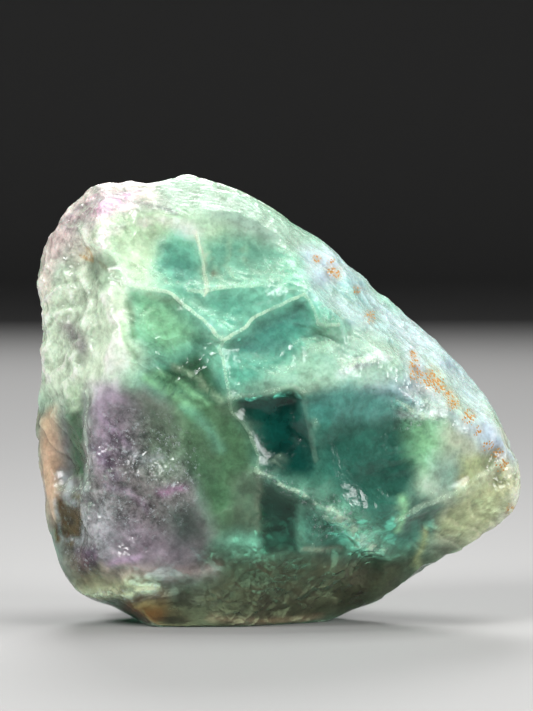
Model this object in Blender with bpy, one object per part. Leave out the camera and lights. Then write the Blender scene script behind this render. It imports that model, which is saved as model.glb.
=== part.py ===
"""Rough fluorite: one broken lump of banded green and purple fluorite, standing on a flat cleavage face.

Millimetres are used for the design and turned into metres when the mesh is written. X runs to the right
across the broad face, Z is up, and the broad face looks towards -Y. The origin is on the ground, below
the middle of the stone's box.
"""

import bmesh
import bpy
import numpy as np
from mathutils import Matrix, Vector, noise

MM = 0.001

# Half thicknesses of the uncut lump, and how boxy its section is (2 is an ellipse).
FRONT_DEPTH = 19.0
BACK_DEPTH = 19.5
BOXINESS = 2.7
# The middle of the lump, about which the outline turns.
HEART = (0.0, 0.0, 31.0)
# The corner between two broken faces is rounded by about this much.
CORNER = 0.28
TRIANGLES = 8000
SPHERE_SUBDIVISIONS = 7

# The outline seen from the front, as (x, z), clockwise from the upper left. It dips below the
# ground under the middle, where the base is then cut off flat.
OUTLINE = [
    (-34.6, 51.6), (-34.3, 54.8), (-33.1, 57.8), (-31.6, 59.5), (-30.0, 61.2), (-28.3, 62.4),
    (-26.1, 63.0), (-24.1, 63.0), (-23.0, 63.4), (-21.5, 63.7), (-19.7, 63.3), (-18.2, 62.8),
    (-16.5, 63.3), (-14.6, 63.8), (-12.5, 64.0), (-10.3, 63.5), (-7.9, 62.8), (-5.3, 61.7),
    (-2.2, 59.7), (1.9, 57.2), (5.0, 55.4), (7.2, 53.6), (9.8, 51.1), (12.6, 48.6),
    (14.2, 47.0), (17.8, 44.2), (21.8, 40.9), (25.1, 37.9), (27.1, 35.6), (29.1, 33.0),
    (30.6, 30.7), (32.4, 27.7), (33.9, 25.1), (34.9, 22.5), (35.0, 20.4), (34.3, 17.5),
    (32.7, 14.9), (31.0, 13.1), (28.1, 10.8), (24.5, 8.9), (21.7, 6.9), (18.4, 4.6),
    (15.5, 3.3), (11.9, 2.0), (7.6, 0.3), (3.3, -1.4), (-1.7, -2.5), (-7.5, -2.8),
    (-11.0, -2.8), (-15.3, -2.2), (-18.2, -1.0), (-20.4, 0.7), (-23.2, 2.4), (-26.1, 3.4),
    (-28.3, 4.6), (-30.3, 6.9), (-31.7, 9.6), (-32.6, 12.5), (-33.1, 15.8), (-33.0, 17.8),
    (-34.0, 20.7), (-34.9, 24.0), (-35.3, 27.5), (-35.0, 30.4), (-34.1, 32.8), (-33.7, 35.4),
    (-33.3, 39.0), (-33.1, 41.9), (-33.7, 45.5), (-34.4, 48.6),
]

# The large broken faces: a point on each, and the way it looks.
FACES = {
    "upper field": ((-4.0, -13.6, 50.0), (-0.06, -0.93, 0.36)),
    "centre": ((-2.0, -16.6, 32.0), (0.0, -1.0, 0.06)),
    "purple field": ((-18.0, -15.4, 22.0), (-0.18, -0.98, -0.06)),
    "right field": ((15.0, -14.6, 27.0), (0.30, -0.95, 0.02)),
    "tip field": ((28.0, -9.6, 24.5), (0.56, -0.82, 0.12)),
    "right bevel": ((18.4, -12.2, 35.9), (0.61, -0.49, 0.63)),
    "upper bevel": ((2.0, -11.4, 53.4), (0.36, -0.58, 0.74)),
    "crown": ((-13.0, -9.6, 59.0), (-0.02, -0.52, 0.86)),
    "crown corner": ((-27.4, -8.0, 57.6), (-0.58, -0.48, 0.66)),
    "left flank": ((-25.4, -12.0, 43.0), (-0.74, -0.66, 0.12)),
    "lower flank": ((-27.0, -12.8, 26.0), (-0.86, -0.50, -0.04)),
    "heel": ((-25.0, -12.4, 9.5), (-0.58, -0.62, -0.52)),
    "bottom bevel": ((0.0, -14.6, 11.0), (0.03, -0.84, -0.54)),
    "tip bevel": ((24.5, -11.0, 18.6), (0.37, -0.62, -0.69)),
    "back": ((-2.0, 16.8, 32.0), (-0.05, 0.99, 0.10)),
    "back right": ((18.0, 13.2, 30.0), (0.50, 0.85, 0.16)),
    "back shoulder": ((-20.0, 12.6, 50.0), (-0.50, 0.72, 0.48)),
    "back crown": ((-2.0, 10.6, 54.5), (0.30, 0.62, 0.72)),
    "back flank": ((-26.0, 11.6, 24.0), (-0.74, 0.66, -0.10)),
    "back foot": ((-2.0, 13.6, 9.0), (0.04, 0.84, -0.54)),
    "back tip": ((25.0, 9.0, 17.0), (0.48, 0.62, -0.62)),
}

# Cleavage steps: the middle and radius of the patch that they cover, the cleavage plane's normal,
# and the height of a step.
STEPS = [
    ((-8.0, -8.0, 60.0), 15.0, (0.16, -0.40, 0.90), 0.8),
    ((12.0, -9.0, 46.0), 15.0, (0.52, -0.38, 0.76), 0.8),
    ((-30.0, -7.0, 32.0), 12.0, (-0.74, -0.66, 0.12), 0.9),
    ((-14.0, 15.0, 44.0), 17.0, (-0.16, 0.94, 0.30), 1.5),
    ((6.0, 14.0, 12.0), 15.0, (0.16, 0.92, -0.36), 1.2),
    ((27.0, 5.0, 26.0), 13.0, (0.64, 0.76, 0.02), 1.1),
    ((-27.0, 8.0, 20.0), 13.0, (-0.60, 0.78, 0.06), 1.2),
]
# Steps form only where the skin looks along the cleavage plane's normal: the cosine where they
# begin, and the further rise over which they come to full height.
STEP_FACING = 0.88
STEP_FADE = 0.08
# The share of a step's height that its sloping riser takes.
RISER = 0.42
# How far a step's front wanders, as a share of its height, and the size of a wave in it.
STEP_WANDER = 1.2
STEP_WAVE = 8.0

# Shell-shaped hollows where flakes broke away: a place, which the nearest skin takes, the hollow's
# half width and its depth. Neighbouring hollows meet in the ridges of the broad face.
HOLLOWS = {
    "mint cell": ((-19.0, -20.0, 53.6), 5.4, 0.9),
    "seam cell": ((-13.0, -20.0, 51.4), 4.2, 0.7),
    "aqua cell": ((-4.6, -20.0, 52.2), 7.0, 1.1),
    "shoulder cell": ((-14.2, -20.0, 45.4), 4.6, 0.8),
    "shelf cell": ((-5.0, -20.0, 46.0), 4.6, 0.9),
    "hook cell": ((-0.6, -20.0, 40.6), 5.6, 1.3),
    "stem cell": ((-13.6, -20.0, 37.4), 7.0, 1.3),
    "bevel cell": ((8.6, -20.0, 47.2), 5.4, 0.8),
    "right cell": ((10.6, -20.0, 38.6), 6.2, 1.0),
    "small cell": ((7.0, -20.0, 31.4), 3.6, 0.6),
    "green field": ((14.4, -20.0, 26.6), 9.0, 1.5),
    "specked cell": ((19.6, -20.0, 33.4), 5.0, 0.8),
    "under slab": ((-9.4, -20.0, 23.4), 6.2, 0.9),
    "lilac field": ((-19.4, -20.0, 27.4), 7.0, 1.1),
    "lilac foot": ((-20.4, -20.0, 16.4), 6.4, 1.0),
    "dark cell": ((-4.0, -20.0, 15.6), 5.4, 0.9),
    "lower cell": ((7.2, -20.0, 14.6), 5.0, 0.8),
    "tip cell": ((25.0, -20.0, 24.0), 6.0, 0.9),
    "tip end": ((31.4, -8.0, 22.0), 3.8, 0.6),
    "flank top": ((-28.4, -11.0, 49.0), 5.6, 0.9),
    "flank grey": ((-26.0, -13.0, 41.6), 4.6, 0.7),
    "flank middle": ((-31.4, -6.0, 40.0), 5.2, 0.9),
    "flank low": ((-30.4, -8.0, 24.0), 5.6, 1.0),
    "smoky window": ((-29.4, -9.0, 14.0), 4.4, 0.8),
    "heel hollow": ((-24.0, -11.0, 7.6), 5.0, 0.7),
    "olive lens": ((-15.0, -10.0, 4.6), 6.0, 0.7),
    "bottom middle": ((2.0, -12.0, 6.6), 7.0, 0.7),
    "bottom right": ((15.0, -10.0, 9.6), 6.0, 0.8),
    "crown left": ((-29.0, -6.0, 58.0), 5.0, 0.8),
    "crown back": ((-10.0, 6.0, 62.0), 7.0, 1.2),
    "left back": ((-33.0, 4.0, 46.0), 7.0, 1.2),
    "left foot": ((-31.0, 5.0, 12.0), 6.0, 1.0),
    "slope": ((16.0, 2.0, 44.0), 8.0, 1.2),
    "slope end": ((27.0, 0.0, 34.0), 6.0, 0.9),
    "back field": ((-10.0, 20.0, 33.0), 13.0, 2.2),
    "back upper": ((0.0, 20.0, 46.0), 9.0, 1.7),
    "back left": ((-22.0, 20.0, 40.0), 8.0, 1.4),
    "back low": ((-14.0, 20.0, 16.0), 9.0, 1.5),
    "back right low": ((13.0, 20.0, 20.0), 11.0, 1.9),
    "back slope": ((15.0, 20.0, 36.0), 8.0, 1.3),
    "back end": ((27.0, 12.0, 18.0), 6.0, 1.0),
}
# A miss in depth counts this much when a place looks for the nearest skin.
DEPTH_WEIGHT = 0.15
# How far a hollow's rim wanders, as a share of the hollow's depth, and the size of a wave in it.
RIM_WANDER = 0.28
RIM_WAVE = 5.5

# Ridges and ledges of the broad face, as lines of (x, z). The stone falls away from each line by
# the first depth on its left and the second on its right, seen along the line, and comes back to
# the face after about the reach.
LEDGES = {
    "arc": (
        [(-27.8, 56.4), (-26.0, 54.4), (-24.0, 53.8), (-21.5, 50.3), (-20.5, 48.6)],
        0.3, 1.1, 5.0,
    ),
    "shoulder": (
        [
            (-22.5, 49.6), (-20.5, 48.6), (-17.5, 48.2), (-15.1, 47.2), (-12.5, 45.5), (-10.6, 43.8),
            (-6.6, 40.4),
        ],
        0.7, 1.3, 5.5,
    ),
    "brow": (
        [(-9.4, 40.2), (-7.6, 41.2), (-4.3, 42.7), (-2.9, 44.5), (0.1, 45.8), (5.0, 48.2)],
        0.6, 1.5, 6.0,
    ),
    "hook": (
        [(2.6, 48.5), (5.2, 45.2), (5.9, 43.5), (8.6, 43.0), (11.0, 43.0)],
        0.3, 1.2, 5.0,
    ),
    "stem": (
        [(-7.5, 42.4), (-8.2, 39.7), (-7.3, 38.0), (-6.7, 34.9), (-6.5, 31.9)],
        0.8, 0.8, 4.5,
    ),
    "slab top": (
        [(-8.5, 33.1), (-6.5, 33.1), (-3.7, 33.3), (-0.3, 34.3), (2.2, 34.6), (5.6, 33.5)],
        0.2, 1.6, 7.0,
    ),
    "slab right": (
        [(3.3, 35.2), (3.6, 33.9), (4.2, 30.4), (5.0, 26.1), (5.4, 23.4)],
        0.5, 1.3, 5.0,
    ),
    "slab left": (
        [(-6.9, 34.8), (-6.7, 33.3), (-6.3, 31.0), (-3.7, 27.8), (-2.7, 24.8), (-2.6, 21.4)],
        1.3, 0.4, 5.0,
    ),
    "crackle": (
        [
            (-4.2, 23.8), (-2.7, 22.8), (0.1, 20.9), (3.2, 19.7), (6.2, 17.6), (8.6, 16.4), (10.6, 13.9),
            (12.0, 11.9), (16.6, 10.6),
        ],
        0.7, 2.0, 6.5,
    ),
    "cell side": ([(3.3, 20.8), (3.3, 10.5)], 0.5, 0.9, 4.0),
    "shelf": (
        [(-12.2, 47.6), (-10.2, 47.9), (-6.3, 48.5), (-2.3, 48.9), (2.1, 49.7)],
        0.7, 0.4, 5.0,
    ),
    "seam": ([(-11.4, 57.2), (-11.2, 55.8), (-10.5, 52.4), (-10.5, 47.9)], 0.5, 0.6, 4.5),
    "crack": (
        [(-26.6, 35.4), (-26.7, 33.6), (-26.9, 27.5), (-26.7, 24.0), (-27.0, 18.2)],
        0.2, 2.2, 4.0,
    ),
    "arch": (
        [
            (-28.0, 17.4), (-27.8, 15.9), (-27.4, 12.5), (-26.4, 11.0), (-24.4, 9.0), (-22.4, 10.2),
            (-18.0, 10.7),
        ],
        0.3, 1.5, 4.0,
    ),
    "lip": ([(-31.3, 5.4), (-30.3, 5.0), (-25.8, 4.3), (-20.9, 5.3), (-16.0, 6.3)], 0.2, 0.8, 3.0),
    "tip edge": (
        [(32.5, 23.9), (31.7, 23.4), (28.4, 21.4), (24.5, 18.9), (19.8, 17.4), (15.6, 14.8)],
        0.8, 0.2, 5.0,
    ),
}
# How far from a ledge's line its drop is complete, and the stretch over which it fades at each end.
LEDGE_SLOPE = 0.9
LEDGE_END = 3.0
# Only skin that looks forward by this cosine or more carries ledges at full depth.
LEDGE_FACING = 0.55

# Loose-grained skin, pitted by small chips: middle and radius of each patch, and how many chips.
GRAINED = [
    ((-31.0, -6.0, 42.0), 13.0, 26),
    ((-27.0, -12.0, 17.0), 10.0, 16),
    ((-20.0, -15.0, 24.0), 13.0, 20),
    ((33.0, -2.0, 22.0), 9.0, 12),
    ((-30.0, 8.0, 36.0), 16.0, 22),
    ((5.0, -14.0, 16.0), 8.0, 10),
    ((-20.0, -4.0, 61.0), 11.0, 14),
    ((14.0, 12.0, 26.0), 20.0, 20),
]
# A chip's least and greatest half width, and its depth as a share of that.
CHIP_WIDTHS = (1.3, 2.9)
CHIP_DEPTH = 0.13
CHIP_SEED = 11

# The gentle unevenness of every face: size of a swelling and its height.
SWELLS = ((17.0, 0.55), (6.5, 0.18))
# How often the skin's points are drawn halfway to their neighbours' middle, which wears the
# sharpest risers and rims down a little.
WEAR_ROUNDS = 1


def unit(vector):
    """The vector at length 1."""
    vector = np.asarray(vector, float)
    return vector / np.linalg.norm(vector)


def smooth(share):
    """0 to 1 with soft ends."""
    share = np.clip(share, 0.0, 1.0)
    return share * share * (3.0 - 2.0 * share)


def patch(points, middle, radius):
    """How much each point belongs to a round patch: 1 in its inner half, 0 outside it."""
    away = np.linalg.norm(points - np.asarray(middle), axis=1) / radius
    return smooth(2.0 * (1.0 - away))


def skin_normals(points, faces):
    """The way that the skin looks at each point."""
    corners = points[faces]
    facing = np.cross(corners[:, 1] - corners[:, 0], corners[:, 2] - corners[:, 0])
    total = np.zeros_like(points)
    for corner in faces.T:
        np.add.at(total, corner, facing)
    return total / np.linalg.norm(total, axis=1)[:, None]


def sphere():
    """The unit sphere's directions and faces."""
    form = bmesh.new()
    bmesh.ops.create_icosphere(form, subdivisions=SPHERE_SUBDIVISIONS, radius=1.0)
    directions = np.array([v.co for v in form.verts])
    faces = np.array([[v.index for v in face.verts] for face in form.faces])
    form.free()
    return directions, faces


def lump(directions):
    """The uncut lump: the outline swept to the front and back in a boxy curve."""
    x, y, z = directions.T
    turn = np.arctan2(z, x)
    corners = np.array(OUTLINE) - (HEART[0], HEART[2])
    corner_turn = np.arctan2(corners[:, 1], corners[:, 0])
    order = np.argsort(corner_turn)
    radius = np.interp(turn, corner_turn[order], np.hypot(*corners.T)[order], period=2 * np.pi)
    across = radius * np.hypot(x, z) ** (2.0 / BOXINESS)
    depth = np.where(y < 0, FRONT_DEPTH, BACK_DEPTH)
    deep = depth * np.sign(y) * np.abs(y) ** (2.0 / BOXINESS)
    return np.stack((HEART[0] + across * np.cos(turn), deep, HEART[2] + across * np.sin(turn)), axis=1)


def cleave(points, place, normal):
    """Takes off what stands beyond a plane, with the corner a little rounded."""
    normal = unit(normal)
    beyond = (points - np.asarray(place)) @ normal
    return points - np.outer(CORNER * np.logaddexp(0.0, beyond / CORNER), normal)


def hollow(points, normals, place, half_width, depth):
    """Presses a ball into the skin nearest to a place, which leaves a shell-shaped hollow."""
    miss = (points - np.asarray(place)) * (1.0, DEPTH_WEIGHT, 1.0)
    middle = points[np.argmin(np.linalg.norm(miss, axis=1))]
    near = np.linalg.norm(points - middle, axis=1) < half_width
    out = unit(normals[near].mean(axis=0))
    radius = (half_width**2 + depth**2) / (2.0 * depth)
    ball = middle + out * (radius - depth)
    from_ball = points - ball
    length = np.linalg.norm(from_ball, axis=1)
    points = points.copy()
    for i in np.flatnonzero(length < radius + depth):
        wander = noise.noise(Vector(points[i]) / RIM_WAVE) * RIM_WANDER * depth
        if length[i] < radius + wander:
            points[i] = ball + from_ball[i] * ((radius + wander) / length[i])
    return points


def grain(points, normals, middle, radius, count, random):
    """Chips a patch of skin at scattered places."""
    chippable = np.flatnonzero(patch(points, middle, radius) > 0.1)
    for i in random.choice(chippable, count, replace=False):
        half_width = random.uniform(*CHIP_WIDTHS)
        points = hollow(points, normals, points[i], half_width, half_width * CHIP_DEPTH)
    return points


def line_place(places, line):
    """Distance of each (x, z) place from a line, whether it is on the left, and its place along it."""
    line = np.asarray(line)
    nearest = np.full(len(places), np.inf)
    left = np.zeros(len(places), bool)
    along_line = np.zeros(len(places))
    passed = 0.0
    for start, end in zip(line[:-1], line[1:]):
        along = end - start
        length = np.hypot(*along)
        share = np.clip((places - start) @ along / length**2, 0.0, 1.0)
        off = places - start - share[:, None] * along
        distance = np.hypot(*off.T)
        closer = distance < nearest
        nearest[closer] = distance[closer]
        left[closer] = (along[0] * off[:, 1] - along[1] * off[:, 0])[closer] > 0
        along_line[closer] = passed + share[closer] * length
        passed += length
    return nearest, left, along_line, passed


def ledge(points, normals, line, left_drop, right_drop, reach):
    """Lets the broad face fall away on both sides of a line, which leaves the line as a crest."""
    distance, left, along, length = line_place(points[:, [0, 2]], line)
    drop = np.where(left, left_drop, right_drop)
    drop *= (1.0 - np.exp(-((distance / LEDGE_SLOPE) ** 2))) * np.exp(-((distance / reach) ** 2))
    drop *= smooth(along / LEDGE_END) * smooth((length - along) / LEDGE_END)
    drop *= smooth(-normals[:, 1] / LEDGE_FACING)
    moved = points.copy()
    moved[:, 1] += drop
    return moved


def steps(points, normals, middle, radius, normal, height):
    """Breaks a patch into flat treads along a cleavage plane, with short risers between them."""
    normal = unit(normal)
    share = patch(points, middle, radius) * smooth((normals @ normal - STEP_FACING) / STEP_FADE)
    moved = points.copy()
    for i in np.flatnonzero(share > 0.0):
        place = Vector(points[i])
        level = place.dot(normal) / height + noise.noise(place / STEP_WAVE) * STEP_WANDER
        tread = np.floor(level)
        riser = smooth((level - tread - 1.0 + RISER) / RISER)
        moved[i] += (tread + riser + RISER / 2.0 - level) * height * share[i] * normal
    return moved


def swell(points, size, height):
    """Raises and lowers the skin in soft swellings."""
    lift = np.array([noise.noise(Vector(p) / size) for p in points]) * height
    outward = points - np.asarray(HEART)
    outward /= np.linalg.norm(outward, axis=1)[:, None]
    return points + outward * lift[:, None]


def worn(points, faces):
    """The skin with its sharpest rims worn down a little."""
    neighbours = np.bincount(faces.ravel(), minlength=len(points))[:, None]
    for _ in range(WEAR_ROUNDS):
        total = np.zeros_like(points)
        for corner, following in zip(faces.T, np.roll(faces, -1, axis=1).T):
            np.add.at(total, corner, points[following])
        points = (points + total / neighbours) / 2.0
    return points


def broken_lump(directions, faces):
    """The whole stone's surface, in millimetres, before its base is cut."""
    points = lump(directions)
    for place, normal in FACES.values():
        points = cleave(points, place, normal)
    for middle, radius, normal, height in STEPS:
        points = steps(points, skin_normals(points, faces), middle, radius, normal, height)
    normals = skin_normals(points, faces)
    for place, half_width, depth in HOLLOWS.values():
        points = hollow(points, normals, place, half_width, depth)
    for line, left_drop, right_drop, reach in LEDGES.values():
        points = ledge(points, normals, line, left_drop, right_drop, reach)
    random = np.random.default_rng(CHIP_SEED)
    normals = skin_normals(points, faces)
    for middle, radius, count in GRAINED:
        points = grain(points, normals, middle, radius, count, random)
    for size, height in SWELLS:
        points = swell(points, size, height)
    return worn(points, faces)


def simplified(mesh, triangles):
    """The mesh collapsed to about this many triangles, which gather along its edges."""
    helper = bpy.data.objects.new("helper", mesh)
    bpy.context.scene.collection.objects.link(helper)
    modifier = helper.modifiers.new("Simplify", "DECIMATE")
    modifier.ratio = triangles / len(mesh.polygons)
    graph = bpy.context.evaluated_depsgraph_get()
    result = bpy.data.meshes.new_from_object(helper.evaluated_get(graph))
    bpy.data.objects.remove(helper)
    return result


def cut_base(mesh):
    """Cuts the stone off flat at the ground, on a real cleavage face."""
    form = bmesh.new()
    form.from_mesh(mesh)
    everything = form.verts[:] + form.edges[:] + form.faces[:]
    bmesh.ops.bisect_plane(
        form, geom=everything, dist=1e-6, plane_co=(0, 0, 0), plane_no=(0, 0, 1), clear_inner=True
    )
    rim = [edge for edge in form.edges if edge.is_boundary]
    bmesh.ops.edgeloop_fill(form, edges=rim)
    bmesh.ops.recalc_face_normals(form, faces=form.faces[:])
    bmesh.ops.triangulate(form, faces=form.faces[:])
    form.to_mesh(mesh)
    form.free()


def set_over_origin(mesh):
    """Moves the stone so that the middle of its box is over the origin."""
    places = np.array([v.co for v in mesh.vertices])
    middle = (places.min(axis=0) + places.max(axis=0)) / 2.0
    mesh.transform(Matrix.Translation((-middle[0], -middle[1], 0.0)))


def fluorite_material():
    """Frosted green fluorite."""
    material = bpy.data.materials.new("fluorite")
    material.use_nodes = True
    shader = material.node_tree.nodes["Principled BSDF"]
    shader.inputs["Base Color"].default_value = (0.22, 0.50, 0.39, 1.0)
    shader.inputs["Roughness"].default_value = 0.35
    shader.inputs["Metallic"].default_value = 0.0
    shader.inputs["IOR"].default_value = 1.434
    return material


def clear_scene():
    """Removes whatever the file opened with."""
    for item in list(bpy.data.objects):
        bpy.data.objects.remove(item)


def main():
    """Builds the stone in a collection of its own."""
    clear_scene()
    directions, faces = sphere()
    rough = bpy.data.meshes.new("rough")
    rough.from_pydata(broken_lump(directions, faces) * MM, [], faces)
    mesh = simplified(rough, TRIANGLES)
    mesh.name = "fluorite"
    cut_base(mesh)
    set_over_origin(mesh)
    stone = bpy.data.objects.new("fluorite", mesh)
    stone.data.materials.append(fluorite_material())
    group = bpy.data.collections.new("Rough fluorite")
    bpy.context.scene.collection.children.link(group)
    group.objects.link(stone)


main()
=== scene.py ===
"""Rough fluorite, dressed: a fine, see-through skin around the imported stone, on a pale studio floor.

The stone's own sizes are in millimetres and become metres when a mesh is written. Places on the broad
face are read from the photograph in pixels and turned into (x, z) in millimetres, X to the right and Z
up from the ground.
"""

import math

import bmesh
import bpy
import numpy as np
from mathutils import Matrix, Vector, kdtree, noise


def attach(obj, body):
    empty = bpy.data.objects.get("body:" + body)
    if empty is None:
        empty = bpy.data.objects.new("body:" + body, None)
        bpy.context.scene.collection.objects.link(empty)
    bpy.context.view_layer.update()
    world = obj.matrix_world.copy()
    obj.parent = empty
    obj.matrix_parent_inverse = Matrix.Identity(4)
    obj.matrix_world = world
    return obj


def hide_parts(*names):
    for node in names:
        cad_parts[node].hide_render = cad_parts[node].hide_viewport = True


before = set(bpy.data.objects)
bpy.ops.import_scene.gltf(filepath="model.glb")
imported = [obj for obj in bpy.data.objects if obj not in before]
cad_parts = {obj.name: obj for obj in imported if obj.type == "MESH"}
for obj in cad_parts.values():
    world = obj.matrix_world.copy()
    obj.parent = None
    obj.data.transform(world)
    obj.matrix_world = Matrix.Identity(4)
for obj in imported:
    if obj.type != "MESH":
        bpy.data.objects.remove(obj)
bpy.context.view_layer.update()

MM = 0.001

# The skin: the grid that it is first made on, in millimetres, how often it is softened to lose the
# solid's flat triangles, and the most triangles that it keeps.
VOXEL = 0.22
SOFTENING_ROUNDS = 14
SKIN_TRIANGLES = 196000

# A photograph pixel's size on the stone, in millimetres, and the pixel below the stone's middle at the
# ground.
PIXEL = 0.14344
GROUND_PIXEL = (277.0, 622.0)

# The stone's colours, as the eye sees them, from 0 to 255.
PALETTE = {
    "mint": (224, 252, 214),
    "pale mint": (196, 232, 204),
    "aqua": (148, 214, 188),
    "teal": (134, 216, 190),
    "blue teal": (128, 206, 192),
    "dark teal": (4, 74, 66),
    "field green": (60, 114, 100),
    "dark green": (6, 66, 52),
    "fern": (74, 112, 82),
    "moss": (108, 144, 108),
    "jade": (142, 206, 178),
    "bright green": (176, 238, 184),
    "grey lilac": (140, 134, 134),
    "lilac": (192, 168, 194),
    "purple": (98, 68, 102),
    "magenta": (214, 120, 200),
    "flank": (226, 240, 214),
    "cream": (226, 230, 186),
    "white": (140, 160, 154),
    "ice": (198, 214, 230),
    "olive": (84, 82, 62),
    "tan": (100, 64, 34),
    "smoky": (126, 96, 58),
    "peach": (250, 206, 172),
    "pink": (242, 216, 212),
    "sky": (134, 196, 184),
    "lemon": (198, 206, 152),
    "bone": (236, 236, 208),
    "silver": (214, 218, 222),
    "grey green": (146, 164, 142),
    "brown": (112, 88, 62),
    "frost": (208, 230, 204),
    "rust": (188, 142, 84),
}

# The growth zones that run through the whole stone: the middle and the half sizes of each, its colour,
# how strongly it shows and how clear it is.
ZONES = [
    ((0.0, 0.0, 34.0), (60.0, 60.0, 60.0), "jade", 1.0, 0.42),
    ((4.0, 0.0, 28.0), (20.0, 40.0, 16.0), "field green", 0.9, 0.48),
    ((-4.0, 0.0, 44.0), (16.0, 40.0, 12.0), "teal", 0.8, 0.48),
    ((-14.0, 0.0, 56.0), (16.0, 40.0, 9.0), "mint", 0.9, 0.35),
    ((-28.0, 0.0, 44.0), (12.0, 40.0, 18.0), "flank", 0.9, 0.14),
    ((-24.0, 0.0, 18.0), (14.0, 40.0, 16.0), "grey lilac", 0.95, 0.35),
    ((-6.0, 0.0, 4.0), (30.0, 40.0, 9.0), "olive", 0.9, 0.45),
    ((30.0, 0.0, 20.0), (13.0, 40.0, 13.0), "bone", 0.9, 0.30),
    ((20.0, 0.0, 38.0), (14.0, 40.0, 9.0), "ice", 0.8, 0.30),
    ((-27.0, 6.0, 60.0), (12.0, 30.0, 9.0), "pink", 0.7, 0.20),
]

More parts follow.
